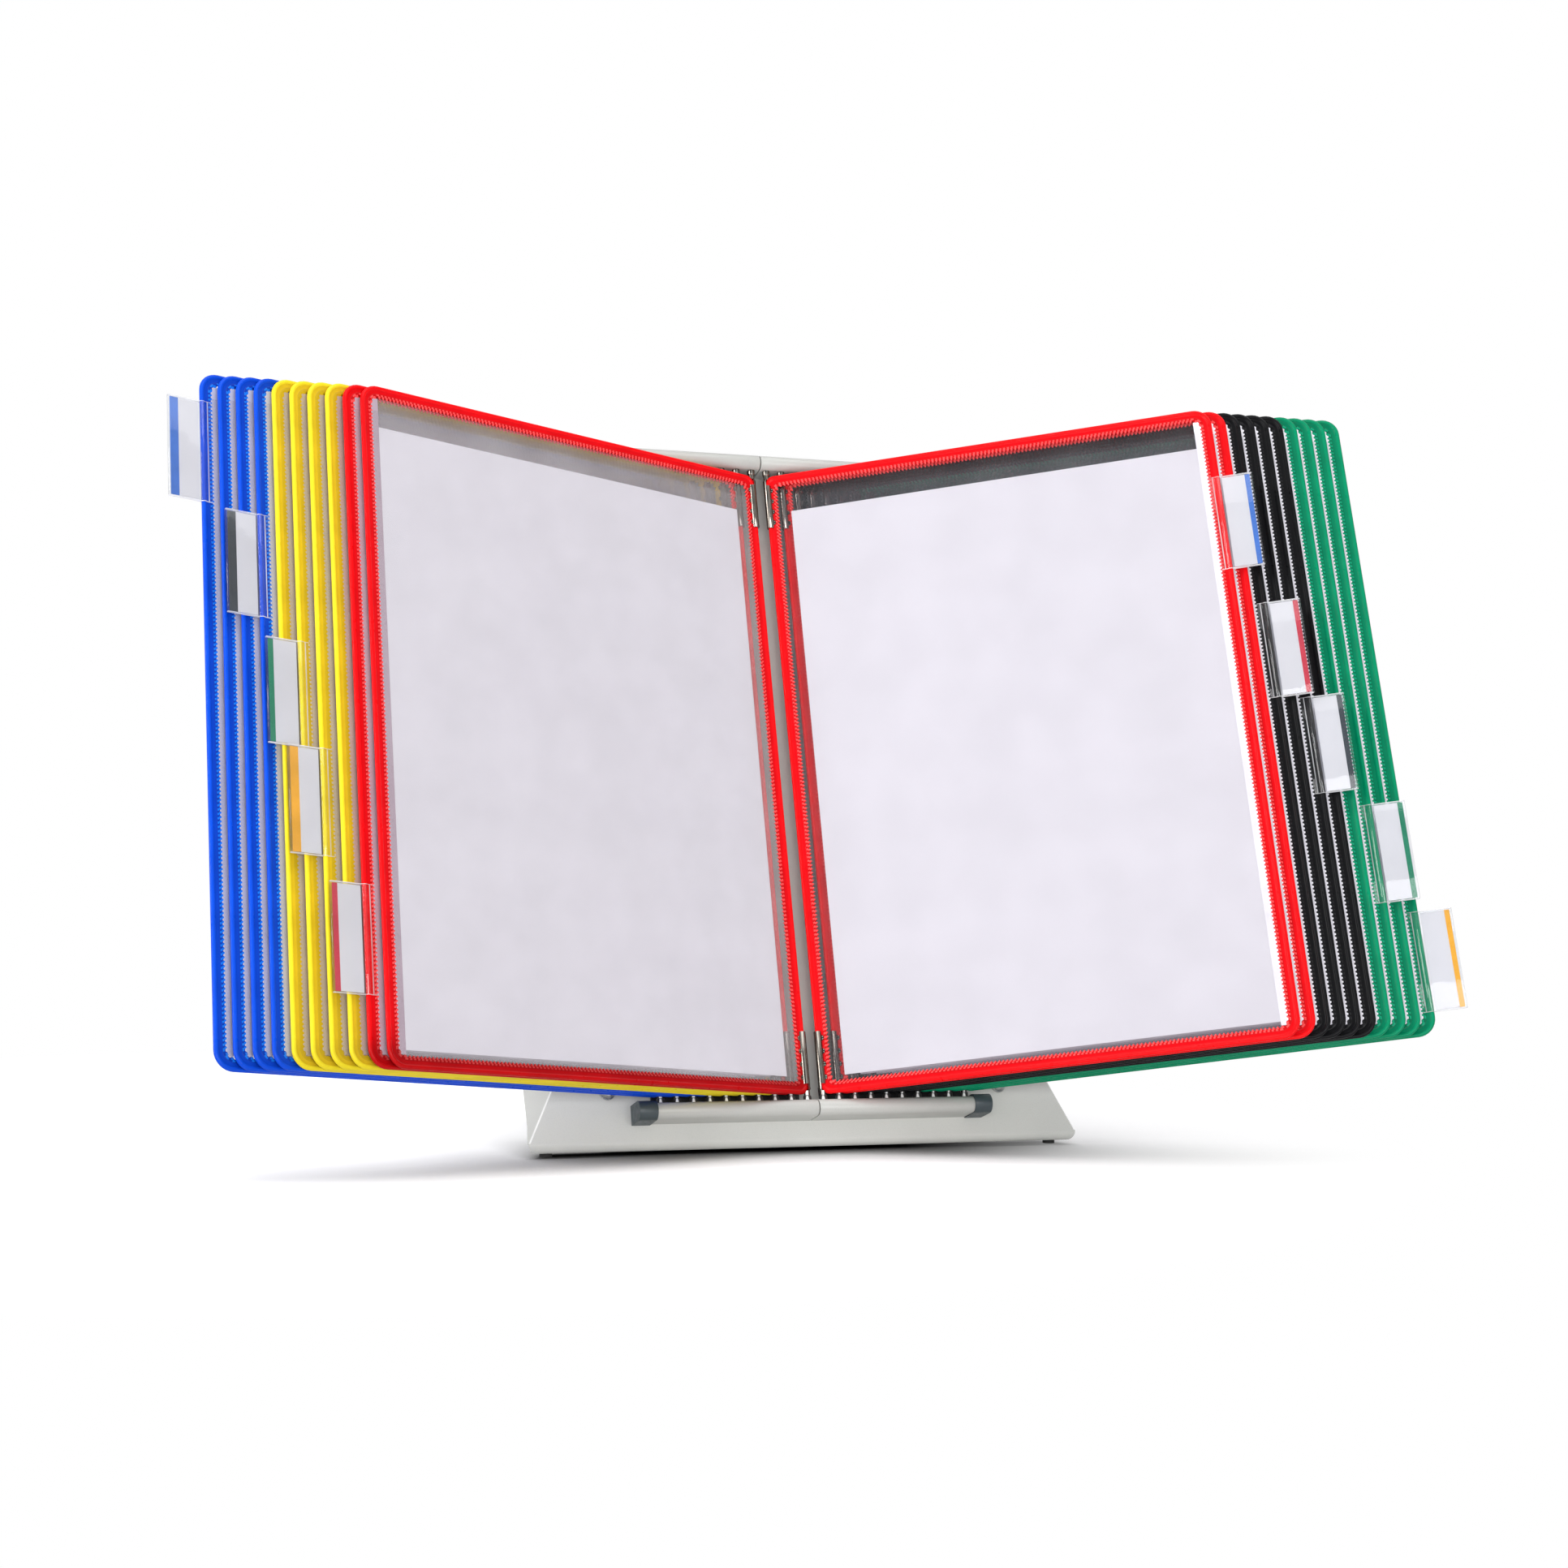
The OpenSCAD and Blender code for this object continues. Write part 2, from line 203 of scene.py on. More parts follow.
class Nodes:
    """Short names for building a node tree."""

    def __init__(self, name):
        self.mat = bpy.data.materials.new(name)
        self.mat.use_nodes = True
        self.tree = self.mat.node_tree
        self.tree.nodes.clear()
        self.out = self.tree.nodes.new("ShaderNodeOutputMaterial")

    def add(self, kind, inputs=None, **props):
        node = self.tree.nodes.new("ShaderNode" + kind)
        for key, value in props.items():
            setattr(node, key, value)
        for key, value in (inputs or {}).items():
            self.put(node.inputs[key], value)
        return node

    def put(self, socket, value):
        if isinstance(value, bpy.types.NodeSocket):
            self.tree.links.new(value, socket)
        else:
            socket.default_value = value

    def coords(self, scale=(1, 1, 1)):
        tc = self.add("TexCoord")
        mapping = self.add("Mapping", {"Vector": tc.outputs["Object"], "Scale": scale})
        return mapping.outputs["Vector"]

    def noise(self, scale, detail=2.0, stretch=(1, 1, 1), rough=0.5):
        node = self.add("TexNoise", {
            "Vector": self.coords(stretch), "Scale": scale, "Detail": detail, "Roughness": rough})
        return node.outputs["Fac"]

    def ramp(self, fac, low, high, lo_pos=0.35, hi_pos=0.65):
        node = self.add("ValToRGB", {"Fac": fac})
        node.color_ramp.elements[0].position = lo_pos
        node.color_ramp.elements[1].position = hi_pos
        node.color_ramp.elements[0].color = (*low, 1)
        node.color_ramp.elements[1].color = (*high, 1)
        return node.outputs["Color"]

    def spread(self, fac, low, high):
        """A noise's usual range, stretched to run from low to high."""
        node = self.add("MapRange", {
            "Value": fac, "From Min": 0.3, "From Max": 0.7, "To Min": low, "To Max": high})
        return node.outputs["Result"]

    def bump(self, height, strength, distance):
        node = self.add("Bump", {"Height": height, "Strength": strength, "Distance": distance})
        return node.outputs["Normal"]

    def math(self, operation, *values):
        node = self.add("Math", operation=operation)
        for socket, value in zip(node.inputs, values):
            self.put(socket, value)
        return node.outputs[0]

    def principled(self, **inputs):
        names = {k.replace("_", " "): v for k, v in inputs.items()}
        node = self.add("BsdfPrincipled")
        for key, value in names.items():
            self.put(node.inputs[key], value)
        return node.outputs[0]

    def done(self, shader):
        self.tree.links.new(shader, self.out.inputs["Surface"])
        return self.mat


def shade(colour, factor):
    return tuple(min(1.0, c * factor) for c in colour)


def painted_steel(name="paint_light_grey", depth=1.0, band=None):
    """Light grey paint with orange peel; between the two heights of a band, if given, painted shade: nearly
    black.
    """
    n = Nodes(name)
    tone = n.ramp(n.noise(14, 4), shade((0.60, 0.605, 0.575), depth), shade((0.65, 0.655, 0.62), depth))
    fleck = n.ramp(n.noise(2600, 2), (0.94, 0.94, 0.94), (1, 1, 1), 0.3, 0.5)
    colour = n.add("Mix", {"Factor": 1.0, 6: tone, 7: fleck}, data_type="RGBA", blend_type="MULTIPLY")
    paint = colour.outputs[2]
    # painted shade: between the band's heights, away from the middle, the paint turns nearly black
    if band:
        where = n.add("NewGeometry").outputs["Position"]
        height = n.add("VectorMath", {0: where, 1: UP}, operation="DOT_PRODUCT").outputs["Value"]
        edges = [n.add("MapRange", {"Value": height, "From Min": (z - 0.2) * MM + SEAM.dot(UP),
                                    "From Max": (z + 0.2) * MM + SEAM.dot(UP)}).outputs[0] for z in band]
        across = n.add("SeparateXYZ", {0: where}).outputs["X"]
        aside = n.math("ABSOLUTE", n.math("SUBTRACT", across, SEAM.x))
        inside = n.math("MULTIPLY", n.math("SUBTRACT", *edges), n.math("GREATER_THAN", aside, SHADE_BAND_GAP * MM))
        paint = n.add("Mix", {"Factor": inside, 6: paint, 7: (*SHADE_BAND_BLACK, 1)}, data_type="RGBA").outputs[2]
    peel = n.bump(n.noise(900, 3), 0.10, 0.0002)
    return n.done(n.principled(
        Base_Color=paint, Roughness=n.spread(n.noise(60, 3), 0.34, 0.44),
        Coat_Weight=0.2, Coat_Roughness=0.25, Normal=peel))


def steel_rim_highlight():
    """The same paint where it wraps a fold or a cut edge, with a painted highlight: thin, smooth and
    brighter.
    """
    n = Nodes("paint_light_grey_rim_highlight")
    tone = n.ramp(n.noise(40, 4), (0.80, 0.805, 0.78), (0.87, 0.875, 0.85))
    peel = n.bump(n.noise(900, 3), 0.05, 0.0002)
    return n.done(n.principled(
        Base_Color=tone, Roughness=n.spread(n.noise(60, 3), 0.22, 0.34), Coat_Weight=0.4,
        Coat_Roughness=0.15, Normal=peel))


def cap_plastic():
    n = Nodes("plastic_slate")
    colour = n.ramp(n.noise(40, 4), (0.040, 0.056, 0.064), (0.055, 0.074, 0.084))
    grain = n.bump(n.noise(3200, 3, rough=0.7), 0.3, 0.00012)
    return n.done(n.principled(
        Base_Color=colour, Roughness=n.spread(n.noise(500, 3), 0.34, 0.5), Normal=grain,
        Specular_IOR_Level=0.5))


def foot_rubber():
    n = Nodes("rubber_black")
    colour = n.ramp(n.noise(120, 4), (0.012, 0.012, 0.012), (0.032, 0.031, 0.030))
    grain = n.bump(n.noise(2500, 4), 0.5, 0.0001)
    return n.done(n.principled(
        Base_Color=colour, Roughness=n.spread(n.noise(300, 2), 0.7, 0.88), Normal=grain))


def nickel():
    n = Nodes("nickel_bright")
    streak = n.noise(30, 3, stretch=(60, 60, 1.5))
    colour = n.ramp(streak, (0.15, 0.125, 0.105), (0.42, 0.39, 0.35), 0.36, 0.66)
    scratch = n.bump(n.noise(40, 3, stretch=(90, 90, 2)), 0.2, 0.00006)
    return n.done(n.principled(
        Base_Color=colour, Metallic=1.0, Roughness=n.spread(n.noise(220, 3), 0.10, 0.26), Normal=scratch))


def pin_steel():
    """Lower pins: dark, with a painted highlight: one narrow bright streak toward whoever looks at them."""
    n = Nodes("pin_painted_highlight")
    scratch = n.bump(n.noise(40, 3, stretch=(90, 90, 2)), 0.08, 0.00005)
    facing = n.add("LayerWeight", {"Blend": 0.5, "Normal": scratch}).outputs["Facing"]
    colour = n.ramp(facing, (0.96, 0.96, 0.95), (0.035, 0.033, 0.032), 0.09, 0.15)
    return n.done(n.principled(
        Base_Color=colour, Metallic=0.1, Roughness=n.spread(n.noise(220, 3), 0.25, 0.4), Normal=scratch))


def zinc():
    n = Nodes("zinc_plate")
    colour = n.ramp(n.noise(260, 4), (0.30, 0.31, 0.32), (0.62, 0.62, 0.61))
    grain = n.bump(n.noise(1400, 3), 0.3, 0.00008)
    return n.done(n.principled(
        Base_Color=colour, Metallic=0.95, Roughness=n.spread(n.noise(500, 3), 0.26, 0.44), Normal=grain))


def pvc(name, colour, rough=0.26, low=1.0):
    """Dyed PVC: a faint cloud, a soft sheen and a fine pebble; low is the brightness of a painted shade
    along its lower edge.
    """
    n = Nodes("pvc_" + name)
    tone = n.ramp(n.noise(70, 3), shade(colour, 0.9), shade(colour, 1.04))
    # painted shade: the colour darkens toward the lower edge, down to low
    if low < 1.0:
        height = n.add("SeparateXYZ", {0: n.add("TexCoord").outputs["Object"]}).outputs["Z"]
        depth = n.add("MapRange", {"Value": height, "From Min": (PAGE_LO.z + BORDER_W) * MM,
                                   "From Max": (PAGE_LO.z + 3 * BORDER_W) * MM, "To Min": low}).outputs[0]
        tone = n.add("Mix", {"Factor": 1.0, 6: tone, 7: depth},
                     data_type="RGBA", blend_type="MULTIPLY").outputs[2]
    pebble = n.bump(n.noise(900, 3), 0.06, 0.00010)
    return n.done(n.principled(
        Base_Color=tone, Roughness=n.spread(n.noise(300, 3), rough, rough + 0.14),
        Coat_Weight=0.06, Coat_Roughness=0.06, Normal=pebble, Specular_IOR_Level=0.1))


def seam_plastic(name, colour, painted_glow):
    """Two films welded together: milky, with a painted glow for some of the light that falls behind it."""
    n = Nodes(name)
    tone = n.ramp(n.noise(90, 3), shade(colour, 0.94), colour)
    pebble = n.bump(n.noise(900, 3), 0.06, 0.00010)
    return n.done(n.principled(
        Base_Color=tone, Roughness=n.spread(n.noise(300, 3), 0.25, 0.39), Coat_Weight=0.1,
        Coat_Roughness=0.06, Normal=pebble, Emission_Color=(*colour, 1), Emission_Strength=painted_glow))


def clear_plastic(name, tint, gloss_rough, wave_scale, wave_strength, haze=0.0):
    """Thin clear film: what is behind shows through a faint tint, under a Fresnel gloss."""
    n = Nodes(name)
    wave = n.bump(n.noise(wave_scale, 3), wave_strength, 0.0006)
    facing = n.add("LayerWeight", {"Blend": 0.5, "Normal": wave}).outputs["Facing"]
    fresnel = n.math("MULTIPLY_ADD", n.math("POWER", facing, 5.0), 0.9, 0.028)
    body = n.ramp(n.noise(35, 3), shade(tint, 0.985), tint)
    through = n.add("BsdfTransparent", {"Color": body})
    gloss = n.add("BsdfGlossy", {
        "Color": (1, 1, 1, 1), "Roughness": n.spread(n.noise(160, 4), gloss_rough * 0.6, gloss_rough * 1.5),
        "Normal": wave})
    veil = n.add("BsdfDiffuse", {"Color": (0.86, 0.86, 0.88, 1), "Normal": wave})
    dusty = n.math("MULTIPLY", n.noise(24, 3), haze)
    base = n.add("MixShader", {0: dusty, 1: through.outputs[0], 2: veil.outputs[0]})
    mix = n.add("MixShader", {0: fresnel, 1: base.outputs[0], 2: gloss.outputs[0]})
    return n.done(mix.outputs[0])


def paper(name, colour, painted_glow=0.0):
    """Smooth white office paper with a faint fibre; a slight glow stands for light between pages."""
    n = Nodes(name)
    tone = n.ramp(n.noise(1300, 4, stretch=(1, 1, 0.6)), shade(colour, 0.99), colour)
    fibre = n.bump(n.noise(2200, 4, stretch=(1, 1, 0.4)), 0.02, 0.00004)
    front = n.principled(Base_Color=tone, Roughness=0.82, Normal=fibre, Specular_IOR_Level=0.2,
                         Emission_Color=(*colour, 1), Emission_Strength=painted_glow)
    glow = n.add("BsdfTranslucent", {"Color": (*colour, 1)})
    mix = n.add("MixShader", {0: 0.27, 1: front, 2: glow.outputs[0]})
    return n.done(mix.outputs[0])


STEEL = painted_steel()
STEEL_RIM_HIGHLIGHT = steel_rim_highlight()
BRACKET_STEEL_SHADE_BAND = painted_steel("paint_bracket_shade_band", 0.78, PIN_SHADE_BAND)
SLATE = cap_plastic()
RUBBER = foot_rubber()
NICKEL = nickel()
PIN_PAINTED_HIGHLIGHT = pin_steel()
ZINC = zinc()
PAPER = paper("paper_white", (0.765, 0.755, 0.795), 0.17)
LABEL = paper("label_white", (0.86, 0.85, 0.87))
FILM = {
    1: clear_plastic("film_clear_left", (0.975, 0.97, 0.975), 0.08, 20, 0.12, 0.12),
    -1: clear_plastic("film_clear_right", (0.975, 0.97, 0.975), 0.08, 20, 0.12, 0.02)}
TAB_CLEAR = clear_plastic("tab_clear_plastic", (0.965, 0.97, 0.98), 0.05, 120, 0.12, 0.02)
TAB_EDGE = clear_plastic("tab_clear_edge", (0.965, 0.97, 0.98), 0.15, 120, 0.12, 1.1)
BORDER_COLOURS = {
    "blue": (0.003, 0.075, 0.68),
    "yellow": (0.92, 0.74, 0.025),
    "red": (0.90, 0.003, 0.006),
    "black": (0.006, 0.006, 0.007),
    "green": (0.0, 0.26, 0.12),
}

PVC, WELD, DOTS_PAINTED_LIGHT, BAND_SHADED, SEAM_GLOWING = {}, {}, {}, {}, {}
# painted light: the left seams are darker and tinted by the bounce off their borders, the right ones pale
SEAM_LEFT_SHADED = {"blue": (0.50, 0.50, 0.60), "yellow": (0.44, 0.36, 0.28), "red": (0.46, 0.36, 0.43)}
SEAM_RIGHT_LIT = (0.78, 0.77, 0.82)
# painted shade: the flat band, and the weld darker still, are darker copies of the border colour for the
# shade beside the lit round bead
BAND_SHADED_COLOURS = {
    "blue": (0.003, 0.058, 0.54), "yellow": (0.74, 0.50, 0.015), "red": (0.74, 0.002, 0.006),
    "black": (0.006, 0.006, 0.007), "green": (0.0, 0.21, 0.10)}
# painted highlight on the raised dots and teeth: lighter hues for blue, red, black and green; for yellow
# painted shade, a darker amber
DOT_LIGHT_COLOURS = {
    "blue": (0.01, 0.20, 0.85), "yellow": (0.60, 0.40, 0.012), "red": (1.0, 0.09, 0.09),
    "black": (0.022, 0.022, 0.024), "green": (0.01, 0.40, 0.21)}
# on the left the borders take painted shade: darker along the bottom
for side, sign, bottom_shade in (
        ("left", 1, {"blue": 0.88, "yellow": 0.82, "red": 0.50}),
        ("right", -1, {"red": 1.0, "black": 1.0, "green": 1.0})):
    for name, low in bottom_shade.items():
        colour = BORDER_COLOURS[name]
        PVC[name, sign] = pvc(name + "_" + side, colour, 0.26, low)
        BAND_SHADED[name, sign] = pvc("band_%s_%s" % (name, side), BAND_SHADED_COLOURS[name], 0.28, low)
        WELD[name, sign] = pvc("weld_%s_%s" % (name, side), shade(BAND_SHADED_COLOURS[name], 0.8), 0.3, low)
        DOTS_PAINTED_LIGHT[name, sign] = pvc("dots_%s_%s" % (name, side), DOT_LIGHT_COLOURS[name], 0.22, low)
        # painted glow on the seams: faint on the left, stronger on the right
        seam_colour, glow = (SEAM_LEFT_SHADED[name], 0.05) if sign > 0 else (SEAM_RIGHT_LIT, 0.2)
        SEAM_GLOWING[name, sign] = seam_plastic("seam_%s_%s" % (name, side), seam_colour, glow)
STRIPE_COLOURS = {
    "blue": (0.07, 0.20, 0.62), "grey": (0.05, 0.06, 0.07), "green": (0.02, 0.24, 0.13),
    "amber": (0.90, 0.44, 0.04), "red": (0.62, 0.05, 0.08)}
STRIPES = {name: pvc("stripe_" + name, colour, 0.3) for name, colour in STRIPE_COLOURS.items()}


def border_name(tag):
    number = int(tag)
    for last, name in ((4, "blue"), (8, "yellow"), (12, "red"), (16, "black"), (20, "green")):
        if number <= last:
            return name


TAB_STRIPES = {
    "01": "blue", "04": "grey", "06": "green", "07": "amber", "09": "red",
    "11": "blue", "13": "red", "15": "grey", "18": "green", "20": "amber"}
WIDE_STRIPES = ("01", "04", "07")


def give(obj, material):
    obj.data.materials.clear()
    obj.data.materials.append(material)


def add_finishes(obj, materials, kinds):
    """Further materials of one object; kinds gives the material of each face by its place."""
    for material in materials:
        obj.data.materials.append(material)
    obj.data.polygons.foreach_set("material_index", kinds)


# ---- pocket border: round bead, flat band, embossed weld with a toothed inner edge ----

CORNER_STEPS = 8
BEAD, WELD_STRIP, RAISED, CLEAR_SEAM, FLAT_BAND = range(5)


def outline(inset, steps_x, steps_z):
    """One closed line round the pocket, a distance in from the bead's centre, as x and z."""
    share = min(max(inset / BAND_W, 0.0), 1.0)
    if inset < 0:
        s, o = SPINE_CORNER - inset, OUTER_CORNER - inset
    else:
        s = SPINE_CORNER + (WINDOW_CORNER - SPINE_CORNER) * share
        o = OUTER_CORNER + (WINDOW_CORNER - OUTER_CORNER) * share
    x0, x1 = inset, EDGE_X - inset
    z0, z1 = EDGE_LO + inset, EDGE_HI - inset
    corners = [
        (x0 + s, z0 + s, s, 180), (x1 - o, z0 + o, o, 270),
        (x1 - o, z1 - o, o, 0), (x0 + s, z1 - s, s, 90)]
    arcs = [circle(cx, cz, r, CORNER_STEPS + 1, start, 90.0) for cx, cz, r, start in corners]
    line = []
    for k, arc in enumerate(arcs):
        line.extend(arc)
        begin, end = Vector(arc[-1]), Vector(arcs[(k + 1) % 4][0])
        steps = steps_x if k % 2 == 0 else steps_z
        for i in range(1, steps):
            line.append(tuple(begin.lerp(end, i / steps)))
    return line


def border_mesh():
    shape = Shape()
    # bead and flat band: section points as distance in from the bead's centre, and height
    turns = [math.radians(a) for a in range(-150, 151, 20)]
    tube = [(-BEAD_R * math.cos(a), BEAD_R * math.sin(a)) for a in turns]
    taper = [(1.4, 0.44), (2.0, 0.33), (2.5, 0.27), (2.9, WELD_HALF)]
    flat = taper + [(u, -y) for u, y in reversed(taper)]
    rings = []
    for inset, y in tube + flat:
        rings.append([(x, y, z) for x, z in outline(inset, 24, 36)])
    shape.loft(rings, loop=True, caps=False)
    for ring in range(len(rings)):
        shape.kinds += [BEAD if ring < len(tube) - 1 else FLAT_BAND] * len(rings[0])
    # embossed weld: a row of dots, and teeth along its inner edge
    dots_x = round((WINDOW_X[1] - WINDOW_X[0]) / DOT_PITCH)
    dots_z = round((WINDOW_Z[1] - WINDOW_Z[0]) / DOT_PITCH)
    half_section = [(2.65, 0.20, 0, 0), (2.85, 0.33, 0, 0), (3.1, 0.33, 0, 0), (3.5, 0.33, 0.3, 0),
                    (3.9, 0.32, 0, 0), (4.2, 0.30, 0, 0.2), (4.4, 0.14, 0, 0.8)]
    section = half_section + [(u, -y, -dot, tooth) for u, y, dot, tooth in reversed(half_section)]
    rings = []
    for inset, y, dot, tooth in section:
        ring = []
        plain = outline(inset, 4 * dots_x, 4 * dots_z)
        toothed = outline(inset + tooth, 4 * dots_x, 4 * dots_z) if tooth else plain
        for k, (x, z) in enumerate(plain):
            phase = k % 4
            if tooth and phase in (1, 2):
                x, z = toothed[k]
            ring.append((x, y + (dot if phase == 0 else 0), z))
        rings.append(ring)
    shape.loft(rings, loop=True, caps=False)
    dot_rings = {i for k, (_, _, dot, _) in enumerate(section) if dot for i in (k - 1, k)}
    tooth_rings = {i for k, (_, _, _, tooth) in enumerate(section) if tooth for i in (k - 1, k)}
    for ring in range(len(rings)):
        for k in range(len(rings[0])):
            raised = (ring in dot_rings and k % 4 in (0, 3)) or (ring in tooth_rings and k % 4 in (0, 1))
            shape.kinds.append(RAISED if raised else WELD_STRIP)
    # clear seam that joins the two films along the outer edge
    seam = [(SEAM_FROM, 0.17), (SEAM_TO - 0.2, 0.17), (SEAM_TO, 0.09)]
    seam += [(u, -y) for u, y in reversed(seam)]
    lo, hi = EDGE_LO + SEAM_END, EDGE_HI - SEAM_END
    shape.loft([[(EDGE_X - u, y, lo + (hi - lo) * k / 36) for u, y in seam] for k in range(37)])
    shape.kinds += [CLEAR_SEAM] * (len(shape.faces) - len(shape.kinds))
    return shape.mesh("border", 50), shape.kinds


# ---- films and sheets: thin closed skins that belly a little ----

def ripple(x, z, seed, size):
    return noise.noise(Vector((x / size, seed * 7.31, z / size)))


def skin_mesh(name, x_range, z_range, thick, height, steps=(26, 38), corner=0.0):
    """A thin closed skin over a rectangle; height(x, z, across, up) gives its middle's offset."""
    nx, nz = steps
    (x0, x1), (z0, z1) = x_range, z_range
    shape = Shape()
    sides = []
    for face in (1, -1):
        grid = []
        for j in range(nz + 1):
            row = []
            for i in range(nx + 1):
                a, b = i / nx, j / nz
                x, z = x0 + (x1 - x0) * a, z0 + (z1 - z0) * b
                row.append((x, height(x, z, a, b) + face * thick / 2, z))
            grid.append(row)
        base = len(shape.points)
        shape.points.extend(p for row in grid for p in row)
        sides.append(base)
        for j in range(nz):
            for i in range(nx):
                k = base + j * (nx + 1) + i
                shape.faces.append((k, k + 1, k + nx + 2, k + nx + 1))
    rim = [i for i in range(nx)] + [nx + j * (nx + 1) for j in range(nz)]
    rim += [nz * (nx + 1) + nx - i for i in range(nx)] + [(nz - j) * (nx + 1) for j in range(nz)]
    for k, a in enumerate(rim):
        b = rim[(k + 1) % len(rim)]
        shape.faces.append((sides[0] + a, sides[0] + b, sides[1] + b, sides[1] + a))
    return shape.mesh(name, 60)


def belly(a, b):
    """0 round the rim of a window, 1 over most of its middle."""
    def ease(t):
        t = min(1.0, max(0.0, min(t, 1 - t) / 0.22))
        return t * t * (3 - 2 * t)
    return ease(a) * ease(b)


def film_meshes(tag, sign):
    """Front and back film of one pocket, as two closed skins."""
    lap = 0.75
    seed = int(tag)
    xs = (WINDOW_X[0] - lap, WINDOW_X[1] + lap)
    front_z = (WINDOW_Z[0] - lap, WINDOW_Z[1] - SLOT_H)
    back_z = (WINDOW_Z[0] - lap, WINDOW_Z[1] + lap)

    def front(x, z, a, b):
        open_top = min(1.0, a / 0.15, (1 - a) / 0.15) * max(0.0, (b - 0.8) / 0.2) * 0.25
        return sign * (0.34 + belly(a, b) * (0.26 + 0.22 * ripple(x, z, seed, 60)) + open_top)

    def back(x, z, a, b):
        return -sign * (0.34 + belly(a, b) * (0.24 + 0.22 * ripple(x, z, seed + 40, 70)))

    return (skin_mesh("film_front", xs, front_z, 0.1, front), skin_mesh("film_back", xs, back_z, 0.1, back))


def sheet_mesh(tag, sign):
    seed = int(tag)
    xs = (PAGE_HI.x - SHEET_INSET - SHEET_SIZE[0], PAGE_HI.x - SHEET_INSET)
    zs = (PAGE_LO.z + SHEET_INSET, PAGE_LO.z + SHEET_INSET + SHEET_SIZE[1])

    def height(x, z, a, b):
        return sign * (0.20 * belly(a, b) * ripple(x, z, seed + 80, 90) + 0.05 * math.sin(math.pi * a))
    return skin_mesh("sheet", xs, zs, 0.12, height)


# ---- pivot clips: rolled barrel, toothed cheeks with pressed dimples, turned pin ----

TEETH = 4
TOOTH_R = 1.4
TOOTH_X = 1.6
CHEEK = (0.27, 0.6)
BARREL_IN = 1.15
NECK_R = 1.5
PRESSED_DOT = [(0.36, 0.0), (0.28, 0.1), (0.14, 0.16), (0.03, 0.17)]


def clip_shape(shape, z_of, length, pin_from, pin_to, pin_kind):
    """One clip standing on height 0; z_of turns its own height into the pocket's."""
    def place(points, z):
        return [(x, y, z_of(z)) for x, y in points]

    slit = math.degrees(math.asin(CHEEK[0] / BARREL_IN))
    def barrel_ring(out, inn):
        arc = circle(0, 0, out, 30, slit * 0.6, 360 - 1.2 * slit)
        return arc + list(reversed(circle(0, 0, inn, 30, slit, 360 - 2 * slit)))
    neck = pin_from - 2.6
    rings = [(0.0, PIN_R - 0.12, BARREL_IN + 0.08), (0.15, PIN_R, BARREL_IN),
             (length - 0.2, PIN_R, BARREL_IN)]
    shape.loft([place(barrel_ring(o, i), z) for z, o, i in rings])
    # above the slit the barrel closes behind the bead's corner and narrows to a neck
    def shell_ring(out, inn):
        return circle(0, 0, out, 24, 90, 180.0) + list(reversed(circle(0, 0, inn, 24, 90, 180.0)))
    rings = [(length - 0.2, PIN_R, BARREL_IN), (neck - 0.3, PIN_R, BARREL_IN),
             (neck, NECK_R, BARREL_IN), (pin_from + 0.1, NECK_R, BARREL_IN)]
    shape.loft([place(shell_ring(o, i), z) for z, o, i in rings])
    profile = [(pin_from - 2.3, NECK_R - 0.25), (pin_from - 2.15, NECK_R), (pin_from, NECK_R),
               (pin_from + 0.15, PIN_R - 0.1), (pin_from + 0.3, PIN_R), (pin_to - 0.7, PIN_R),
               (pin_to - 0.2, PIN_R - 0.35), (pin_to, PIN_R - 0.8)]
    shape.kinds += [0] * (len(shape.faces) - len(shape.kinds))
    shape.loft([place(circle(0, 0, r, 30), z) for z, r in profile])
    shape.kinds += [pin_kind] * (len(shape.faces) - len(shape.kinds))
    pitch = length / TEETH
    edge = [(BARREL_IN + 0.1, 0.0)]
    for k in range(TEETH):
        centre = pitch * (k + 0.5)
        edge += [(TOOTH_X + TOOTH_R * math.cos(a), centre + TOOTH_R * math.sin(a))
                 for a in (math.radians(-75 + 15 * s) for s in range(11))]
    edge += [(BARREL_IN + 0.1, length)]
    middle = Vector((BARREL_IN, length / 2))
    for side in (1, -1):
        rings = []
        for y, shrink in ((CHEEK[0], 0.0), (CHEEK[1] - 0.1, 0.0), (CHEEK[1], 0.1)):
            ring = []
            for x, z in edge:
                toward = (middle - Vector((x, z))).normalized() * shrink
                ring.append((x + toward.x, side * y, z_of(z + toward.y)))
            rings.append(ring)
        shape.loft(rings)
        for k in range(TEETH):
            for offset in (-0.55, 0.55):
                cx, cz = TOOTH_X + 0.8, pitch * (k + 0.5) + offset
                rings = []
                for r, h in PRESSED_DOT:
                    y = side * (CHEEK[1] - 0.03 + h)
                    rings.append([(x, y, z_of(z)) for x, z in circle(cx, cz, r, 10)])
                shape.loft(rings)


def clips_mesh(tag):
    lo, hi = local_box("pivots_" + tag, POCKET_FRAMES[tag])
    shape = Shape()
    corner_hi = EDGE_HI - SPINE_CORNER
    corner_lo = EDGE_LO + SPINE_CORNER
    upper, lower = 24.0, 26.0
    past = BEAD_R + 0.3
    start = corner_hi - upper
    clip_shape(shape, lambda z: start + z, upper, EDGE_HI + past - start, hi.z - start, 0)
    top = corner_lo + lower
    clip_shape(shape, lambda z: top - z, lower, top - (EDGE_LO - past), top - lo.z, 1)
    shape.kinds += [0] * (len(shape.faces) - len(shape.kinds))
    return shape.mesh("clips", 45), shape.kinds


# ---- index tabs ----

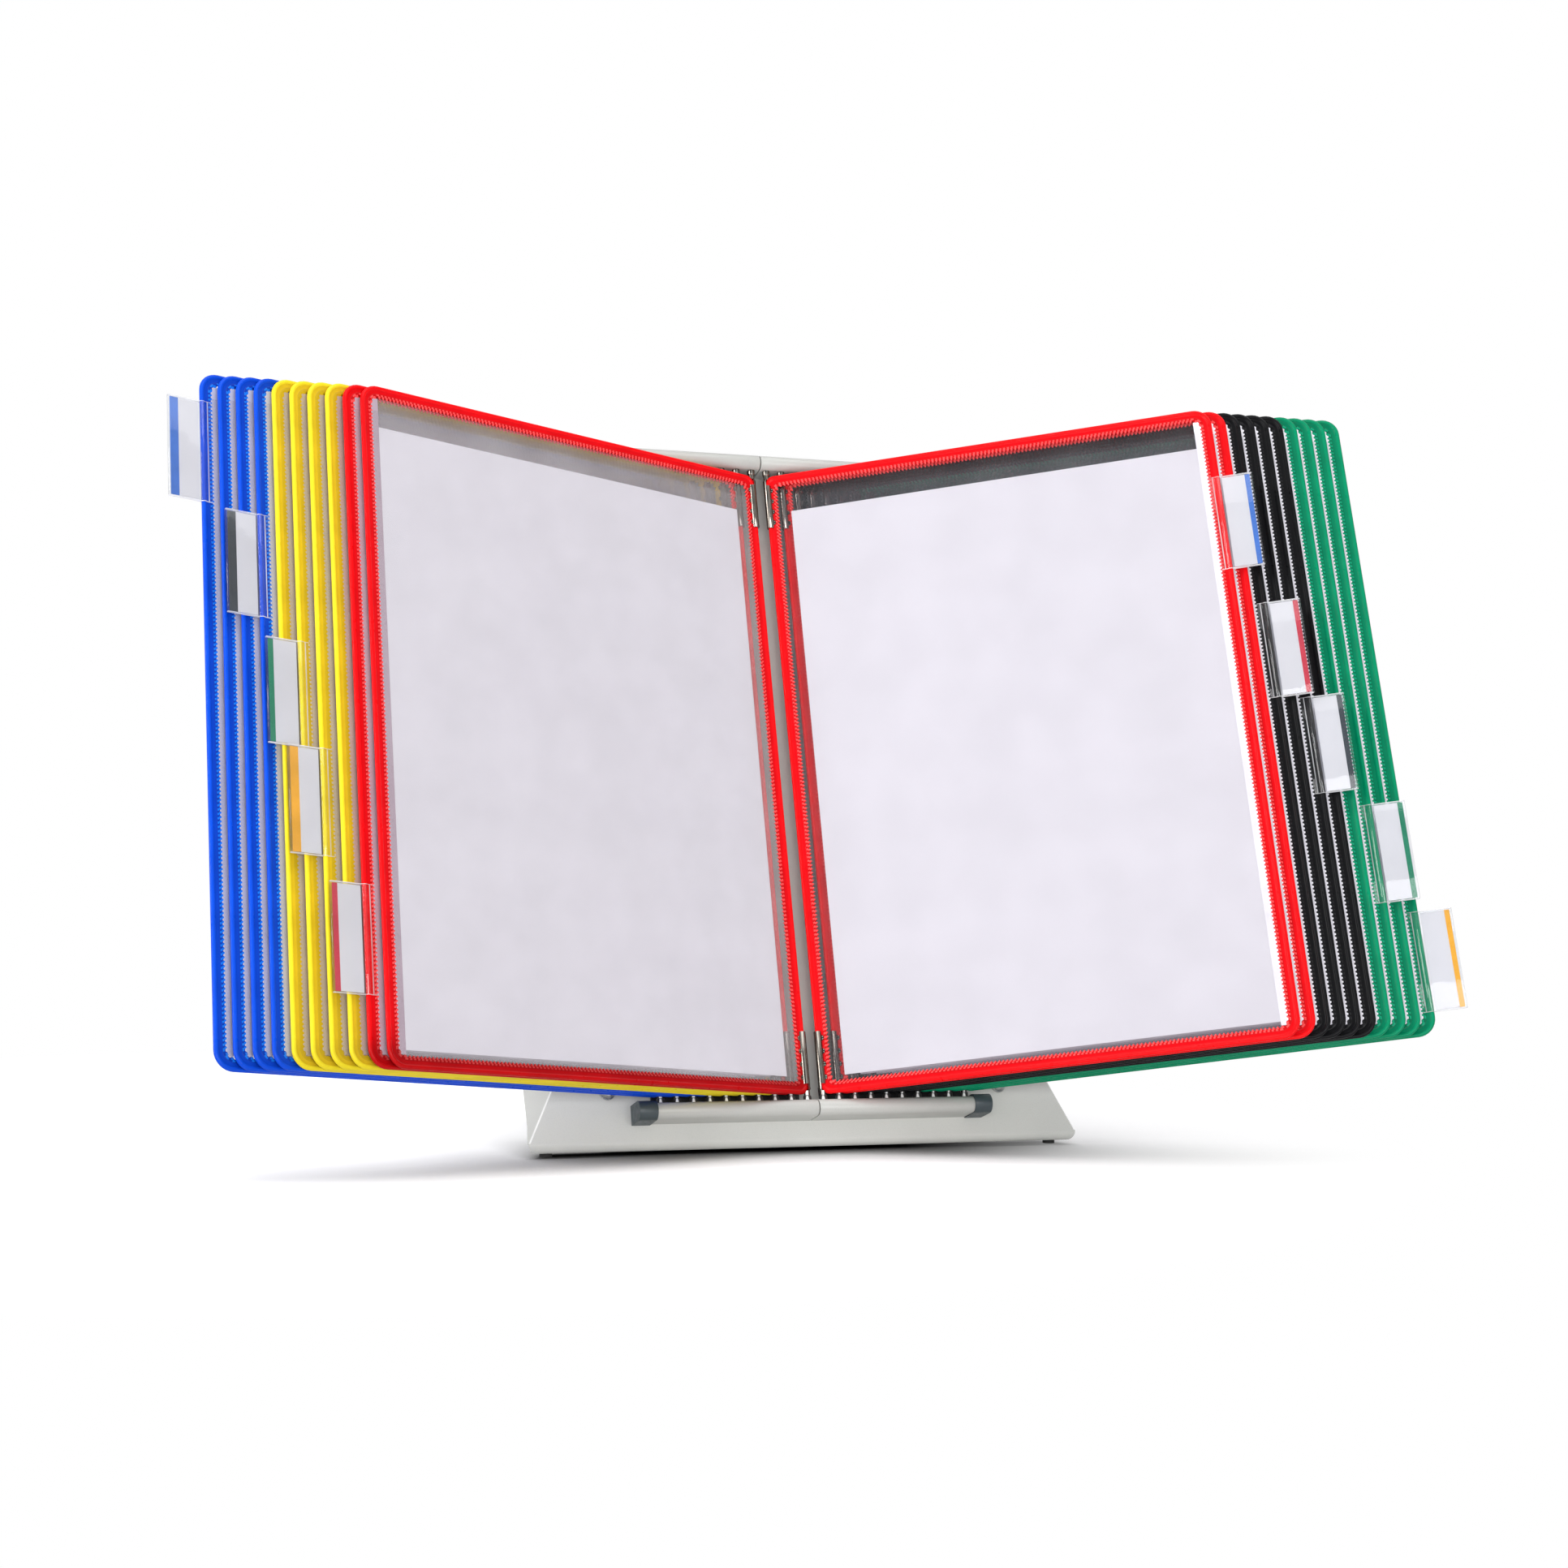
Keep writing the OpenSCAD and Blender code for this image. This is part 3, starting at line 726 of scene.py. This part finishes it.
def tab_pieces(tag):
    frame_m = POCKET_FRAMES[tag]
    lo, hi = local_box("tab_" + tag, frame_m)
    body = "tab_body_" + tag
    z0, z1 = lo.z, hi.z
    jaw = lo.x
    out = hi.x
    shell = Shape()
    # section of the clear shell: jaws on the band, a bulge over the bead, then the flat flag
    outer = [(jaw, 0.30), (jaw + 0.25, 0.92)]
    outer += [(EDGE_X - 1.5, 0.95)] + circle(EDGE_X, 0, BEAD_R + 0.42, 7, 130, -95.0)
    outer += [(EDGE_X + 2.0, 0.8), (out - 0.35, 0.8), (out, 0.45)]
    inner = circle(EDGE_X, 0, BEAD_R + 0.06, 9, 20, 140.0) + [(EDGE_X - 1.2, 0.29)]
    flat = [(out - 0.9, 0.32), (PAGE_HI.x + 0.7, 0.32)]
    kinds = []
    for side in (1, -1):
        section = outer + [(out, 0.0), (out - 0.9, 0.0)] + flat + [(EDGE_X + 1.55, 0.32)] + inner
        rings = []
        for z, shrink in ((z0, 0.25), (z0 + 0.25, 0.0), (z1 - 0.25, 0.0), (z1, 0.25)):
            ring = []
            for x, y in section:
                y2 = y - shrink * 0.5 if y > 0.5 else y
                ring.append((min(x, out - shrink), side * y2, z))
            rings.append(ring)
        shell.loft(rings)
        n = len(section)
        kinds += [1] * n + [int(k == n - 1) for k in range(n)] + [1] * n + [1, 1]
    obj = make_object("tab_%s_shell" % tag, shell.mesh("tab_shell", 35), frame_m)
    give(obj, TAB_CLEAR)
    add_finishes(obj, [TAB_EDGE], kinds)
    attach(obj, body)
    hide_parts("tab_" + tag)
    stripe_w = 4.0 if tag in WIDE_STRIPES else 2.5
    margin = 0.8
    for name, x0, x1, mat in (("label", PAGE_HI.x + 0.9, out - 1.2 - stripe_w, LABEL),
                              ("stripe", out - 1.2 - stripe_w, out - 1.2, STRIPES[TAB_STRIPES[tag]])):
        def flat_height(x, z, a, b):
            return 0.02 * math.sin(7 * a + int(tag))
        mesh = skin_mesh("tab_" + name, (x0, x1), (z0 + margin, z1 - margin), 0.36, flat_height, (6, 18))
        piece = make_object("tab_%s_%s" % (tag, name), mesh, frame_m)
        give(piece, mat)
        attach(piece, body)


# ---- build the pockets ----

BORDER, BORDER_KINDS = border_mesh()
for tag in TAGS:
    body = "pocket_body_" + tag
    sign = front_sign(tag)
    m = POCKET_FRAMES[tag]
    colour = border_name(tag)
    border = make_object("pocket_%s_border" % tag, BORDER.copy(), m)
    give(border, PVC[colour, sign])
    add_finishes(border, [finish[colour, sign] for finish in (WELD, DOTS_PAINTED_LIGHT, SEAM_GLOWING, BAND_SHADED)], BORDER_KINDS)
    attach(border, body)
    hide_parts("pocket_" + tag)
    for side, mesh in zip(("front", "back"), film_meshes(tag, sign)):
        film = make_object("pocket_%s_film_%s" % (tag, side), mesh, m)
        give(film, FILM[sign])
        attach(film, body)
    sheet = make_object("pocket_%s_sheet" % tag, sheet_mesh(tag, sign), m)
    give(sheet, PAPER)
    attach(sheet, body)
    mesh, kinds = clips_mesh(tag)
    clips = make_object("pocket_%s_clips" % tag, mesh, m)
    give(clips, NICKEL)
    add_finishes(clips, [PIN_PAINTED_HIGHLIGHT], kinds)
    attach(clips, body)
    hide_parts("pivots_" + tag)

for tag in TAB_TAGS:
    tab_pieces(tag)

# ---- the stand ----

for name, material, edge in (
        ("base_panel", STEEL, 0.0), ("base_foot", STEEL, 0.4), ("bracket_left", BRACKET_STEEL_SHADE_BAND, 0.5),
        ("bracket_right", BRACKET_STEEL_SHADE_BAND, 0.5), ("end_caps", SLATE, 0.9), ("feet", RUBBER, 0.3),
        ("washers", ZINC, 0.2), ("nuts", ZINC, 0.3)):
    node = frame["nodes"][name]
    node.data.materials.clear()
    node.data.materials.append(material)
    if not edge:
        continue
    weld = node.modifiers.new("weld", "WELD")
    weld.merge_threshold = 1e-6
    bevel = node.modifiers.new("edges", "BEVEL")
    bevel.width = edge * MM
    bevel.segments = 3
    bevel.limit_method = "ANGLE"
    bevel.angle_limit = math.radians(35)
    bevel.harden_normals = True


FEET_BOTTOM = local_box("feet", Matrix.Identity(4))[0].z
LEAN_ANGLE = math.acos(UP.z)
SHEET_T = 1.5
ROLL_R = 4.0
FOLD_R = 1.9
FOOT_H = 2.0
PANEL_Y = 10.0
BASE_HALF = 140.3
BASE_TOP = 203.0
TAPER = math.radians(25.5)
WING_BEND = math.radians(75)
WING_CORNER, WING_TOP = 70.0, 16.0
LIP = 14.0


def base_panel_mesh():
    """One folded sheet: the leaning front, rounded folds, two wings, and the rolled lower edge."""
    roll_y = PANEL_Y + ROLL_R
    foot_top = FEET_BOTTOM + FOOT_H
    roll_z = (foot_top + ROLL_R - SEAM.z / MM + roll_y * math.sin(LEAN_ANGLE)) / math.cos(LEAN_ANGLE)
    fold_len = (BASE_TOP - roll_z) / math.cos(TAPER)
    along = Vector((-math.sin(TAPER), 0, math.cos(TAPER)))
    across = Vector((math.cos(TAPER), 0, math.sin(TAPER)))
    back = Vector((0, 1, 0))
    start = Vector((BASE_HALF, PANEL_Y, roll_z))
    tangent = FOLD_R * math.tan(WING_BEND / 2)

    def half_path(s, depth):
        """From the middle of the panel out to the wing's edge, on the face at a depth in the sheet."""
        reach = s if s < WING_CORNER else (
            WING_CORNER + (WING_TOP - WING_CORNER) * (s - WING_CORNER) / (fold_len - WING_CORNER))
        reach = max(reach, tangent + 0.3)
        centre = start + along * s - across * tangent + back * FOLD_R
        bend = [centre + (across * math.sin(a) - back * math.cos(a)) * (FOLD_R - depth)
                for a in (WING_BEND * k / 6 for k in range(7))]
        out = across * math.cos(WING_BEND) + back * math.sin(WING_BEND)
        edge = bend[-1] + out * (reach - tangent)
        inner = bend[0].copy()
        inner.x = 0.0
        return [inner, bend[0].lerp(inner, 0.1)] + bend + [bend[-1].lerp(edge, 0.5), edge]

    def row(s):
        ring = []
        for depth, order in ((0.0, 1), (SHEET_T, -1)):
            right = half_path(s, depth)
            left = [Vector((-p.x, p.y, p.z)) for p in right[:0:-1]]
            ring += (left + right)[::order]
        return [tuple(p) for p in ring]

    shape = Shape()
    steps = [WING_CORNER * k / 7 for k in range(8)]
    steps += [WING_CORNER + (fold_len - WING_CORNER) * k / 6 for k in range(1, 7)]
    rows = [row(s) for s in steps]
    shape.loft(rows)
    # each row runs along the outer face and back along the inner one: folds and cut edges are rims, which
    # take the painted highlight
    half = len(rows[0]) // 2
    highlight_rims = {4, 5, 14, 15, half - 1, 2 * half - 1}
    kinds = [int(k in highlight_rims) for _ in rows[1:] for k in range(2 * half)]
    sweep = 90 + math.degrees(LEAN_ANGLE)
    level = Vector((math.cos(LEAN_ANGLE), math.sin(LEAN_ANGLE)))

    def profile(r):
        arc = circle(roll_y, roll_z, r, 12, 180, sweep)
        end = Vector(arc[-1]) + level * LIP
        return arc + [tuple(end)]
    section = profile(ROLL_R) + profile(ROLL_R - SHEET_T)[::-1]
    mitre = 0.6
    rings = []
    for side in (-1, -0.33, 0.33, 1):
        rings.append([(side * (BASE_HALF + 0.2 - mitre * (y - PANEL_Y)), y, z) for y, z in section])
    shape.loft(rings)
    kinds += [0] * (len(shape.faces) - len(kinds))
    return shape.mesh("base_panel_folded", 30), kinds


PANEL_MESH, PANEL_KINDS = base_panel_mesh()
PANEL_MESH.transform(LEAN)
panel = make_object("base_panel_folded", PANEL_MESH)
give(panel, STEEL)
add_finishes(panel, [STEEL_RIM_HIGHLIGHT], PANEL_KINDS)
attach(panel, "stand")
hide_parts("base_panel")


def clusters(points, reach=12.0):
    """Boxes round groups of points that stand apart from each other."""
    groups = []
    for p in points:
        for group in groups:
            if np.linalg.norm(group[0] - p) < reach:
                group.append(p)
                break
        else:
            groups.append([p])
    return [(np.min(g, axis=0), np.max(g, axis=0)) for g in groups]


def screw_shape(shape, lo, hi):
    """A pan head with a cross recess, facing -y, and its shank with a chamfered end."""
    cx, cz = (lo[0] + hi[0]) / 2, (lo[2] + hi[2]) / 2
    r = (hi[0] - lo[0]) / 2
    head = 2.2
    seat = lo[1] + head
    arm, reach = 0.55, 0.55 * r

    def ring(radius, y, n=48):
        return [(cx + x, y, cz + z) for x, z in circle(0, 0, radius, n)]
    shank = 2.0
    rings = [ring(shank - 0.5, hi[1]), ring(shank, hi[1] - 0.5), ring(shank, seat)]
    rings += [ring(r - 0.1, seat), ring(r, seat - 0.15)]
    for k in range(1, 7):
        a = math.radians(90 * k / 7)
        rings.append(ring(r * (0.62 + 0.38 * math.cos(a)), seat - head * math.sin(a) * 0.98))
    for k in range(9):
        radius = 0.6 * r * (1 - k / 9) + 0.04
        points = []
        for x, z in circle(0, 0, radius, 48):
            inside = min(abs(x), abs(z)) < arm and max(abs(x), abs(z)) < reach
            points.append((cx + x, lo[1] + (1.1 if inside else 0.0), cz + z))
        rings.append(points)
    shape.loft(rings)


for name in ("panel_screws", "bracket_screws"):
    inv = np.array(LEAN.inverted())
    points = (node_points(name) @ inv[:3, :3].T + inv[:3, 3]) / MM
    shape = Shape()
    for lo, hi in clusters(points):
        screw_shape(shape, lo, hi)
    mesh = shape.mesh(name, 35)
    mesh.transform(LEAN)
    screws = make_object(name + "_cross_head", mesh)
    give(screws, ZINC)
    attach(screws, "stand")
    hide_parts(name)

# ---- floor, light and camera ----

def floor_material():
    """White paper sweep: takes a soft shadow near the stand, with painted contact shade close to the parts,
    and is plain white farther out.
    """
    n = Nodes("floor_white")
    where = n.add("TexCoord").outputs["Object"]
    away = n.add("VectorMath", {0: where, 1: SHADOW_CENTRE}, operation="SUBTRACT").outputs["Vector"]
    far = n.add("VectorMath", {0: away}, operation="LENGTH").outputs["Value"]
    fade = n.add("MapRange", {"Value": far, "From Min": FLOOR_FADE[0], "From Max": FLOOR_FADE[1]},
                 interpolation_type="SMOOTHSTEP")
    tone = n.ramp(n.noise(6, 3), (0.985, 0.985, 0.985), (1, 1, 1))
    # painted shade: ambient occlusion darkens the floor's colour close to the stand
    corner = n.add("AmbientOcclusion", {"Distance": 0.08}, samples=12).outputs["AO"]
    contact_shade_gain = n.math("MULTIPLY", n.math("POWER", corner, 1.5), FLOOR_GAIN)
    bright = n.add("Mix", {"Factor": 1.0, 6: tone, 7: contact_shade_gain},
                   data_type="RGBA", blend_type="MULTIPLY").outputs[2]
    lit = n.add("BsdfDiffuse", {"Color": bright})
    white = n.add("Emission", {"Color": (1, 1, 1, 1), "Strength": 1.0})
    seen = n.add("MixShader", {0: fade.outputs[0], 1: lit.outputs[0], 2: white.outputs[0]})
    plain = n.add("BsdfDiffuse", {"Color": (0.8, 0.8, 0.8, 1)})
    camera_ray = n.add("LightPath").outputs["Is Camera Ray"]
    both = n.add("MixShader", {0: camera_ray, 1: plain.outputs[0], 2: seen.outputs[0]})
    return n.done(both.outputs[0])


FLOOR_GAIN = 1.4
FLOOR_FADE = (0.26, 0.52)
SHADOW_CENTRE = (-0.18, 0.10, 0)
floor_mesh = bpy.data.meshes.new("floor")
floor_mesh.from_pydata([(-12, -12, 0), (12, -12, 0), (12, 12, 0), (-12, 12, 0)], [], [(0, 1, 2, 3)])
floor = make_object("floor", floor_mesh)
floor_mesh.materials.append(floor_material())


def studio_world():
    """White to the camera; to the object a grey room with a tan corner and a dark teal one."""
    world = bpy.data.worlds.new("studio")
    world.use_nodes = True
    tree = world.node_tree
    tree.nodes.clear()

    def add(kind, **props):
        node = tree.nodes.new("ShaderNode" + kind)
        for key, value in props.items():
            setattr(node, key, value)
        return node

    direction = add("TexCoord").outputs["Generated"]
    split = add("SeparateXYZ")
    tree.links.new(direction, split.inputs[0])
    height = add("ValToRGB")
    tree.links.new(split.outputs["Z"], height.inputs["Fac"])
    height.color_ramp.elements[0].color = (0.62, 0.62, 0.64, 1)
    height.color_ramp.elements[1].position = 0.75
    height.color_ramp.elements[1].color = (1.0, 1.0, 1.02, 1)
    colour = height.outputs["Color"]
    for aim, tint, inner in (((0.763, -0.439, 0.473), (0.34, 0.27, 0.22), 0.98),
                             ((-0.50, -0.683, 0.53), (0.06, 0.085, 0.10), 0.985)):
        dot = add("VectorMath", operation="DOT_PRODUCT")
        tree.links.new(direction, dot.inputs[0])
        dot.inputs[1].default_value = Vector(aim).normalized()
        spot = add("MapRange", interpolation_type="SMOOTHSTEP")
        tree.links.new(dot.outputs["Value"], spot.inputs["Value"])
        spot.inputs["From Min"].default_value = 0.90
        spot.inputs["From Max"].default_value = inner
        mix = add("Mix", data_type="RGBA")
        tree.links.new(spot.outputs[0], mix.inputs["Factor"])
        tree.links.new(colour, mix.inputs[6])
        mix.inputs[7].default_value = (*tint, 1)
        colour = mix.outputs[2]
    room = add("Background")
    tree.links.new(colour, room.inputs["Color"])
    room.inputs["Strength"].default_value = WORLD_STRENGTH
    seen = add("Background")
    path = add("LightPath")
    choose = add("MixShader")
    seen.inputs["Color"].default_value = (1, 1, 1, 1)
    tree.links.new(path.outputs["Is Camera Ray"], choose.inputs[0])
    tree.links.new(room.outputs[0], choose.inputs[1])
    tree.links.new(seen.outputs[0], choose.inputs[2])
    tree.links.new(choose.outputs[0], add("OutputWorld").inputs["Surface"])
    return world


WORLD_STRENGTH = 0.78
bpy.context.scene.world = studio_world()


def area_light(name, toward, distance, size, power, colour=(1, 1, 1)):
    data = bpy.data.lights.new(name, "AREA")
    data.shape = "RECTANGLE"
    data.size, data.size_y = size
    data.energy = power
    data.color = colour
    lamp = bpy.data.objects.new(name, data)
    bpy.context.scene.collection.objects.link(lamp)
    away = Vector(toward).normalized()
    lamp.location = (CAD_BOX[0] + CAD_BOX[1]) / 2 + away * distance
    lamp.rotation_euler = (-away).to_track_quat("-Z", "Y").to_euler()
    return lamp


area_light("side_left", (-0.92, -0.30, 0.25), 1.8, (0.5, 1.2), 15)
area_light("overhead", (0.0, -0.35, 0.94), 1.6, (1.6, 0.9), 10)
area_light("front_low", (-0.15, -1.0, 0.10), 2.0, (1.6, 0.5), 16)

# The camera stands left of the display, a little above the lower bar, and looks slightly up.
CAMERA_FROM_SEAM = Vector((-0.4386, -1.2021, 0.1261))
CAMERA_YAW, CAMERA_PITCH, CAMERA_ROLL = (math.radians(a) for a in (19.27, 1.176, 0.7795))
CAMERA_LENS = 60.74

camera_data = bpy.data.cameras.new("camera")
camera_data.sensor_width = 36.0
camera_data.lens = CAMERA_LENS
camera = bpy.data.objects.new("camera", camera_data)
bpy.context.scene.collection.objects.link(camera)
ahead = Vector((
    math.sin(CAMERA_YAW) * math.cos(CAMERA_PITCH), math.cos(CAMERA_YAW) * math.cos(CAMERA_PITCH),
    math.sin(CAMERA_PITCH)))
level = Vector((math.cos(CAMERA_YAW), -math.sin(CAMERA_YAW), 0))
upright = level.cross(ahead)
c, s = math.cos(CAMERA_ROLL), math.sin(CAMERA_ROLL)
camera.matrix_world = axes_matrix(
    c * level + s * upright, c * upright - s * level, -ahead, SEAM + CAMERA_FROM_SEAM)
bpy.context.scene.camera = camera
bpy.context.scene.view_settings.view_transform = "Standard"
bpy.context.scene.cycles.transparent_max_bounces = 96
